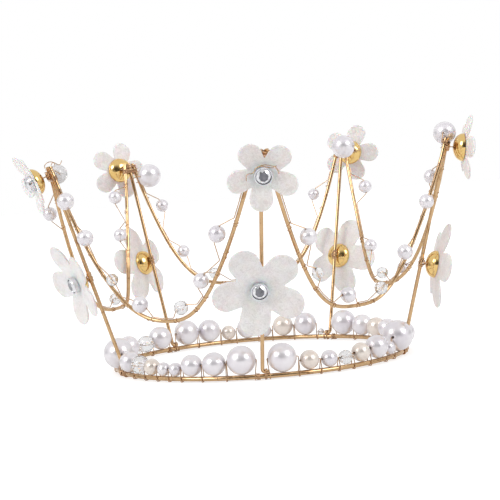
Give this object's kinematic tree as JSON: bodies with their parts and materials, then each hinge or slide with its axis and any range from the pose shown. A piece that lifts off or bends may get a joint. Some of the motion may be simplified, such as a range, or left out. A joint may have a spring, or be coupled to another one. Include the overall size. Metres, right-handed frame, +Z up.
{
  "type": "crown",
  "caption": "Gold wire crown with pearls strung round the base hoop, draped wire swags, beaded vines and five-petal flowers",
  "frame": {"origin": "centre of the base hoop on the plane the crown rests on", "axes": "+Z up, the front flower faces -Y, +X is the wearer-facing viewer's right"},
  "size_m": [0.199, 0.1925, 0.1045],
  "materials": {
    "gold_wire": "polished champagne gold plating",
    "fine_gold_wire": "polished champagne gold plating",
    "white_pearl": "pearlescent gloss",
    "cream_pearl": "pearlescent gloss",
    "clear_bead": "clear, polished",
    "frosted_petal": "frosted white, slightly see-through",
    "clear_petal": "clear with a milky cast",
    "gold_cap": "mirror polished gold plating",
    "silver_cup": "polished",
    "clear_stone": "cut and polished"
  },
  "bodies": {
    "crown_frame": {"base_hoop": "gold_wire", "bead_string_wire_1": "fine_gold_wire", "bead_string_wire_2": "fine_gold_wire", "bead_string_wire_3": "fine_gold_wire", "bead_string_wire_4": "fine_gold_wire", "bead_string_wire_5": "fine_gold_wire", "ring_pearls_large": "white_pearl", "ring_pearls_medium": "white_pearl", "ring_pearls_small": "white_pearl", "ring_pearls_cream": "cream_pearl", "ring_crystals": "clear_bead", "stem_front": "gold_wire", "stem_right": "gold_wire", "stem_back_right": "gold_wire", "stem_back_left": "gold_wire", "stem_left": "gold_wire", "foot_lashings": "fine_gold_wire", "tip_bindings": "fine_gold_wire", "tip_pearl_wires": "fine_gold_wire", "swag_front_right": "gold_wire", "vine_wire_front_right": "fine_gold_wire", "vine_pearls_front_right": "white_pearl", "swag_right": "gold_wire", "vine_wire_right": "fine_gold_wire", "vine_pearls_right": "white_pearl", "swag_back": "gold_wire", "vine_wire_back": "fine_gold_wire", "vine_pearls_back": "white_pearl", "swag_left": "gold_wire", "vine_wire_left": "fine_gold_wire", "vine_pearls_left": "white_pearl", "swag_front_left": "gold_wire", "vine_wire_front_left": "fine_gold_wire", "vine_pearls_front_left": "white_pearl", "vine_crystals": "clear_bead", "lower_back_caps": "gold_cap", "lower_stone_cups": "silver_cup", "lower_rhinestones": "clear_stone", "lower_flower_ties": "fine_gold_wire", "tip_back_caps": "gold_cap", "tip_stone_cups": "silver_cup", "tip_rhinestones": "clear_stone", "tip_flower_ties": "fine_gold_wire"},
    "lower_flower_front": {"lower_petals_front": "frosted_petal"},
    "lower_flower_right": {"lower_petals_right": "frosted_petal"},
    "lower_flower_back_right": {"lower_petals_back_right": "frosted_petal"},
    "lower_flower_back_left": {"lower_petals_back_left": "frosted_petal"},
    "lower_flower_left": {"lower_petals_left": "frosted_petal"},
    "tip_flower_front": {"tip_petals_front": "clear_petal"},
    "tip_flower_right": {"tip_petals_right": "clear_petal"},
    "tip_flower_back_right": {"tip_petals_back_right": "clear_petal"},
    "tip_flower_back_left": {"tip_petals_back_left": "clear_petal"},
    "tip_flower_left": {"tip_petals_left": "clear_petal"},
    "tip_pearl_front_bead": {"tip_pearl_front": "white_pearl"},
    "tip_pearl_right_bead": {"tip_pearl_right": "white_pearl"},
    "tip_pearl_back_right_bead": {"tip_pearl_back_right": "white_pearl"},
    "tip_pearl_back_left_bead": {"tip_pearl_back_left": "white_pearl"},
    "tip_pearl_left_bead": {"tip_pearl_left": "clear_bead"}
  },
  "joints": [
    {"name": "lower_flower_front_turn", "type": "hinge", "parent": "crown_frame", "child": "lower_flower_front", "pos_m": [0.00113, -0.08094, 0.0381], "axis": [0.0289, -0.9451, -0.3256], "range_deg": [-90, 90]},
    {"name": "lower_flower_right_turn", "type": "hinge", "parent": "crown_frame", "child": "lower_flower_right", "pos_m": [0.07894, -0.02082, 0.03862], "axis": [0.9751, 0.0767, -0.2079], "range_deg": [-90, 90]},
    {"name": "lower_flower_back_right_turn", "type": "hinge", "parent": "crown_frame", "child": "lower_flower_back_right", "pos_m": [0.04244, 0.0695, 0.03981], "axis": [0.57, 0.7992, -0.1908], "range_deg": [-90, 90]},
    {"name": "lower_flower_back_left_turn", "type": "hinge", "parent": "crown_frame", "child": "lower_flower_back_left", "pos_m": [-0.05489, 0.06129, 0.04363], "axis": [-0.8229, 0.5142, -0.2419], "range_deg": [-90, 90]},
    {"name": "lower_flower_left_turn", "type": "hinge", "parent": "crown_frame", "child": "lower_flower_left", "pos_m": [-0.07698, -0.02919, 0.042], "axis": [-0.8105, -0.487, -0.3256], "range_deg": [-90, 90]},
    {"name": "tip_flower_front_turn", "type": "hinge", "parent": "crown_frame", "child": "tip_flower_front", "pos_m": [0.00558, -0.09587, 0.08321], "axis": [0.0622, -0.949, -0.309], "range_deg": [-90, 90]},
    {"name": "tip_flower_right_turn", "type": "hinge", "parent": "crown_frame", "child": "tip_flower_right", "pos_m": [0.09366, -0.02413, 0.08856], "axis": [0.9936, 0.0434, -0.1045], "range_deg": [-90, 90]},
    {"name": "tip_flower_back_right_turn", "type": "hinge", "parent": "crown_frame", "child": "tip_flower_back_right", "pos_m": [0.05227, 0.08269, 0.09092], "axis": [0.3243, 0.9419, -0.0872], "range_deg": [-90, 90]},
    {"name": "tip_flower_back_left_turn", "type": "hinge", "parent": "crown_frame", "child": "tip_flower_back_left", "pos_m": [-0.06414, 0.07362, 0.09014], "axis": [-0.4669, 0.8781, -0.1045], "range_deg": [-90, 90]},
    {"name": "tip_flower_left_turn", "type": "hinge", "parent": "crown_frame", "child": "tip_flower_left", "pos_m": [-0.0917, -0.03204, 0.08662], "axis": [-0.8656, -0.3323, -0.3746], "range_deg": [-90, 90]},
    {"name": "tip_pearl_front_spin", "type": "hinge", "parent": "crown_frame", "child": "tip_pearl_front_bead", "pos_m": [0.00454, -0.07806, 0.0842], "axis": [0.9995, 0.0305, 0], "continuous": true},
    {"name": "tip_pearl_right_spin", "type": "hinge", "parent": "crown_frame", "child": "tip_pearl_right_bead", "pos_m": [0.0869, -0.01664, 0.09544], "axis": [0.2672, 0.9636, 0], "continuous": true},
    {"name": "tip_pearl_back_right_spin", "type": "hinge", "parent": "crown_frame", "child": "tip_pearl_back_right_bead", "pos_m": [0.04796, 0.06674, 0.09377], "axis": [-0.848, 0.5299, 0], "continuous": true},
    {"name": "tip_pearl_back_left_spin", "type": "hinge", "parent": "crown_frame", "child": "tip_pearl_back_left_bead", "pos_m": [-0.0487, 0.06212, 0.08644], "axis": [-0.7547, -0.6561, 0], "continuous": true},
    {"name": "tip_pearl_left_spin", "type": "hinge", "parent": "crown_frame", "child": "tip_pearl_left_bead", "pos_m": [-0.08274, -0.02012, 0.08969], "axis": [0.3584, -0.9336, 0], "continuous": true}
  ]
}
